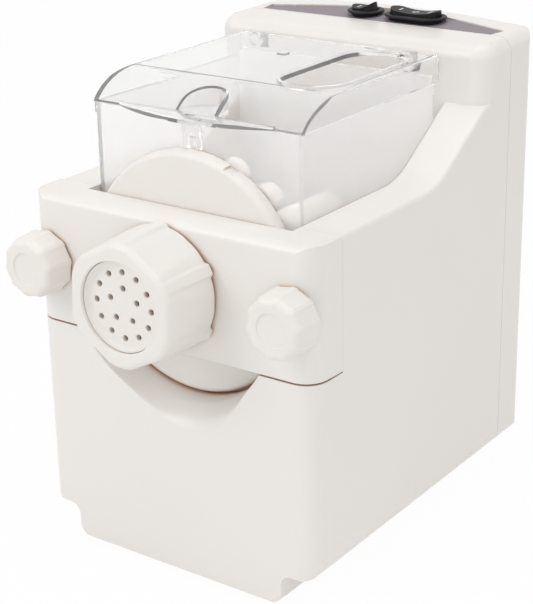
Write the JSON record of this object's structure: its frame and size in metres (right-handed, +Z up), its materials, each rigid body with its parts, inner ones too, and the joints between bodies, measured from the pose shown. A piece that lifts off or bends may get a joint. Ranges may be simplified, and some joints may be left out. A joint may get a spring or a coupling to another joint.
{
  "type": "electric pasta maker",
  "caption": "Electric pasta maker with a clear mixing bowl and lid over a motor housing, a screw that pushes dough through a round die, and a front bar held by thumb nuts.",
  "frame": {"origin": "bottom centre of the whole box, on the plane of the feet", "axes": "+Z up, front with the die faces -Y, +X to the right seen from the front"},
  "size_m": [0.2132, 0.2924, 0.3039],
  "materials": {
    "white_shell": "satin warm white",
    "white_part": "satin white, slightly matt",
    "clear": "clear moulded plastic",
    "black": "satin black",
    "taupe": "matt grey",
    "steel": "turned steel",
    "brass": "turned brass",
    "nylon": "natural nylon",
    "rubber": "matt rubber",
    "silicone": "soft pale seal",
    "copper": "varnished copper winding",
    "circuit": "circuit board"
  },
  "bodies": {
    "housing": {"main_housing": "white_shell", "rear_cover": "white_shell", "base_plate": "white_part", "foot_front_left": "rubber", "foot_front_right": "rubber", "foot_rear_left": "rubber", "foot_rear_right": "rubber", "clamp_stud_left": "steel", "clamp_stud_right": "steel", "lay_shaft": "steel", "motor_can": "steel", "motor_bell": "steel", "gearbox_front_plate": "steel", "gearbox_rear_plate": "steel", "front_bush": "brass", "rear_bush": "brass", "shaft_seal": "rubber", "control_panel": "taupe", "power_switch_frame": "black", "mode_switch_frame": "black", "control_board": "circuit", "lid_safety_switch": "black", "cord_bush": "black"},
    "bowl": {"mixing_bowl": "clear"},
    "lid": {"lid": "clear"},
    "front_end": {"front_bar": "white_shell", "end_plate": "white_part", "plate_seal": "silicone", "die_disc": "white_part"},
    "die_nut": {"die_nut": "white_part"},
    "thumb_nut_left": {"thumb_nut_left": "white_part"},
    "thumb_nut_right": {"thumb_nut_right": "white_part"},
    "screw": {"mixing_screw": "white_part"},
    "output": {"output_shaft": "steel", "output_gear": "nylon"},
    "layshaft": {"lay_gear": "nylon"},
    "rotor": {"motor_armature": "copper", "motor_pinion": "brass", "motor_fan": "black"},
    "power_rocker": {"power_rocker": "black"},
    "mode_rocker": {"mode_rocker": "black"}
  },
  "joints": [
    {"name": "bowl_slide", "type": "slide", "parent": "housing", "child": "bowl", "axis": [0, -1, 0], "range_m": [0, 0.06]},
    {"name": "front_end_slide", "type": "slide", "parent": "bowl", "child": "front_end", "axis": [0, -1, 0], "range_m": [0, 0.045]},
    {"name": "lid_hinge", "type": "hinge", "parent": "bowl", "child": "lid", "pos_m": [0, 0.08075, 0.28], "axis": [-1, 0, 0], "range_deg": [0, 45]},
    {"name": "die_nut_spin", "type": "hinge", "parent": "front_end", "child": "die_nut", "pos_m": [0, -0.12675, 0.183], "axis": [0, -1, 0], "continuous": true},
    {"name": "thumb_nut_left_spin", "type": "hinge", "parent": "front_end", "child": "thumb_nut_left", "pos_m": [-0.087, -0.11575, 0.1823], "axis": [0, -1, 0], "continuous": true},
    {"name": "thumb_nut_right_spin", "type": "hinge", "parent": "front_end", "child": "thumb_nut_right", "pos_m": [0.087, -0.11575, 0.1823], "axis": [0, -1, 0], "continuous": true},
    {"name": "output_spin", "type": "hinge", "parent": "housing", "child": "output", "pos_m": [0, 0.09, 0.183], "axis": [0, 1, 0], "continuous": true},
    {"name": "screw_spin", "type": "hinge", "parent": "bowl", "child": "screw", "pos_m": [0, 0, 0.183], "axis": [0, 1, 0], "continuous": true},
    {"name": "layshaft_spin", "type": "hinge", "parent": "housing", "child": "layshaft", "pos_m": [0, 0.09, 0.106], "axis": [0, 1, 0], "continuous": true},
    {"name": "rotor_spin", "type": "hinge", "parent": "housing", "child": "rotor", "pos_m": [0, 0.04, 0.0535], "axis": [0, 1, 0], "continuous": true},
    {"name": "power_rocker_tip", "type": "hinge", "parent": "housing", "child": "power_rocker", "pos_m": [-0.0126, 0.12445, 0.2956], "axis": [0, 1, 0], "range_deg": [0, 20]},
    {"name": "mode_rocker_tip", "type": "hinge", "parent": "housing", "child": "mode_rocker", "pos_m": [0.0246, 0.12445, 0.2956], "axis": [0, 1, 0], "range_deg": [-10, 10]}
  ],
  "couplings": [
    {"joint": "screw_spin", "follows": "output_spin", "ratio": 1},
    {"joint": "layshaft_spin", "follows": "output_spin", "ratio": -4.5},
    {"joint": "rotor_spin", "follows": "output_spin", "ratio": 22.5}
  ]
}
